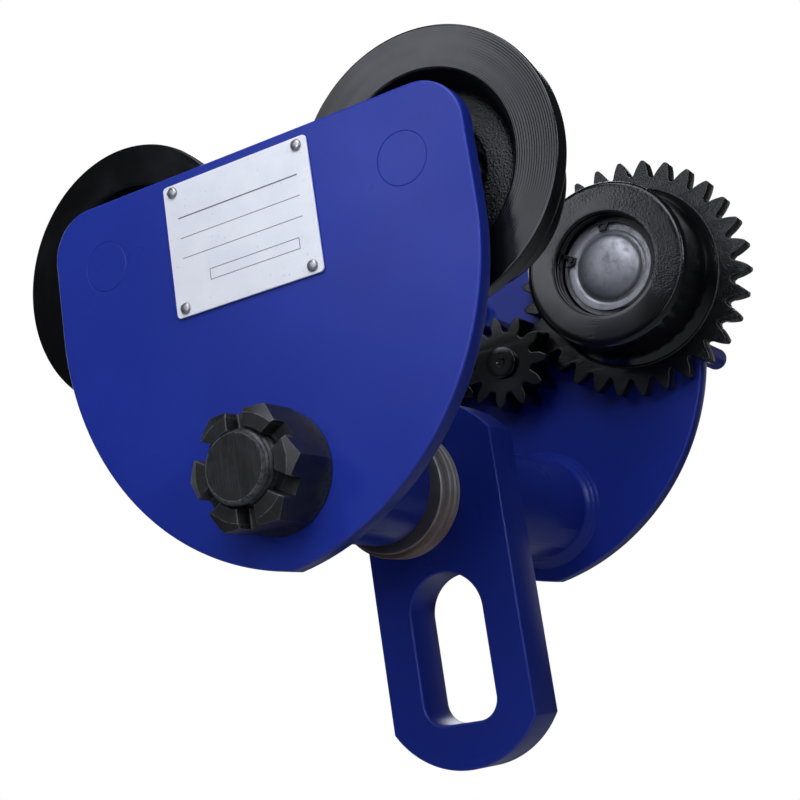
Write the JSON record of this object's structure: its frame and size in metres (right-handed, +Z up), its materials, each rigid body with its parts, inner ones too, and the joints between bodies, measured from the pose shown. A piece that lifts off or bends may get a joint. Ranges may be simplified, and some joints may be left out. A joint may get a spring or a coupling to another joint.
{
  "type": "geared beam trolley",
  "caption": "Geared beam trolley: two side plates with flanged wheels, a pinion driven by a hand chain wheel, and a slotted lifting eye on a cross shaft.",
  "frame": {"origin": "on the upper side of the beam's lower flange, where the wheels stand, midway between the axles and midway between the side plates", "axes": "+X along the beam, +Y across it from the plain side plate to the geared side, +Z up"},
  "size_m": [0.281, 0.3582, 0.3022],
  "materials": {
    "blue_paint": "glossy deep blue paint",
    "black_paint": "semi-gloss black paint over cast and turned steel",
    "bare_steel": "bare steel, lightly worn",
    "axle_steel": "turned steel, its head painted blue with the plate",
    "dark_steel": "black-oxide steel with worn edges",
    "dull_steel": "dull bare steel with light rust",
    "plate_metal": "satin printed aluminium"
  },
  "bodies": {
    "frame": {"plain_side_plate": "blue_paint", "plain_boss_tube": "blue_paint", "drive_side_plate": "blue_paint", "drive_boss_tube": "blue_paint", "load_shaft": "dark_steel", "plain_castle_nut": "dark_steel", "drive_castle_nut": "dark_steel", "nameplate": "plate_metal", "nameplate_rivet_1": "bare_steel", "nameplate_rivet_2": "bare_steel", "nameplate_rivet_3": "bare_steel", "nameplate_rivet_4": "bare_steel", "spacer_washer_1": "dull_steel", "spacer_washer_2": "dull_steel", "spacer_washer_3": "dull_steel", "spacer_washer_4": "dull_steel", "spacer_washer_5": "dull_steel", "pinion_bush": "dark_steel", "left_chain_guide": "blue_paint", "right_chain_guide": "blue_paint", "plain_left_axle": "axle_steel", "plain_left_axle_ring": "dark_steel", "plain_left_bearing_inner": "bare_steel", "plain_left_ball_row": "bare_steel", "plain_right_axle": "axle_steel", "plain_right_axle_ring": "dark_steel", "plain_right_bearing_inner": "bare_steel", "plain_right_ball_row": "bare_steel", "geared_left_axle": "axle_steel", "geared_left_axle_ring": "dark_steel", "geared_left_bearing_inner": "bare_steel", "geared_left_ball_row": "bare_steel", "geared_right_axle": "axle_steel", "geared_right_axle_ring": "dark_steel", "geared_right_bearing_inner": "bare_steel", "geared_right_ball_row": "bare_steel"},
    "plain_left_wheel_body": {"plain_left_wheel": "black_paint", "plain_left_bearing_outer": "bare_steel", "plain_left_bore_ring": "dark_steel", "plain_left_dust_cap": "bare_steel"},
    "plain_right_wheel_body": {"plain_right_wheel": "black_paint", "plain_right_bearing_outer": "bare_steel", "plain_right_bore_ring": "dark_steel", "plain_right_dust_cap": "bare_steel"},
    "geared_left_wheel_body": {"geared_left_wheel": "black_paint", "geared_left_bearing_outer": "bare_steel", "geared_left_bore_ring": "dark_steel", "geared_left_dust_cap": "bare_steel"},
    "geared_right_wheel_body": {"geared_right_wheel": "black_paint", "geared_right_bearing_outer": "bare_steel", "geared_right_bore_ring": "dark_steel", "geared_right_dust_cap": "bare_steel"},
    "pinion_body": {"pinion_shaft": "black_paint", "hand_chain_wheel": "blue_paint", "chain_wheel_key": "dark_steel", "chain_wheel_ring": "dark_steel"},
    "eye_body": {"lifting_eye": "blue_paint"}
  },
  "joints": [
    {"name": "plain_left_roll", "type": "hinge", "parent": "frame", "child": "plain_left_wheel_body", "pos_m": [-0.07651, -0.09, 0.0435], "axis": [0, 1, 0], "continuous": true},
    {"name": "plain_right_roll", "type": "hinge", "parent": "frame", "child": "plain_right_wheel_body", "pos_m": [0.07651, -0.09, 0.0435], "axis": [0, 1, 0], "continuous": true},
    {"name": "geared_left_roll", "type": "hinge", "parent": "frame", "child": "geared_left_wheel_body", "pos_m": [-0.07651, 0.09, 0.0435], "axis": [0, 1, 0], "continuous": true},
    {"name": "geared_right_roll", "type": "hinge", "parent": "frame", "child": "geared_right_wheel_body", "pos_m": [0.07651, 0.09, 0.0435], "axis": [0, 1, 0], "continuous": true},
    {"name": "pinion_spin", "type": "hinge", "parent": "frame", "child": "pinion_body", "pos_m": [0, 0.11, 0.01399], "axis": [0, 1, 0], "continuous": true},
    {"name": "eye_swing", "type": "hinge", "parent": "frame", "child": "eye_body", "pos_m": [0, 0.00275, -0.0666], "axis": [0, 1, 0], "range_deg": [-75, 75]}
  ],
  "couplings": [
    {"joint": "geared_left_roll", "follows": "geared_right_roll", "ratio": 1},
    {"joint": "pinion_spin", "follows": "geared_right_roll", "ratio": -2.7273}
  ]
}
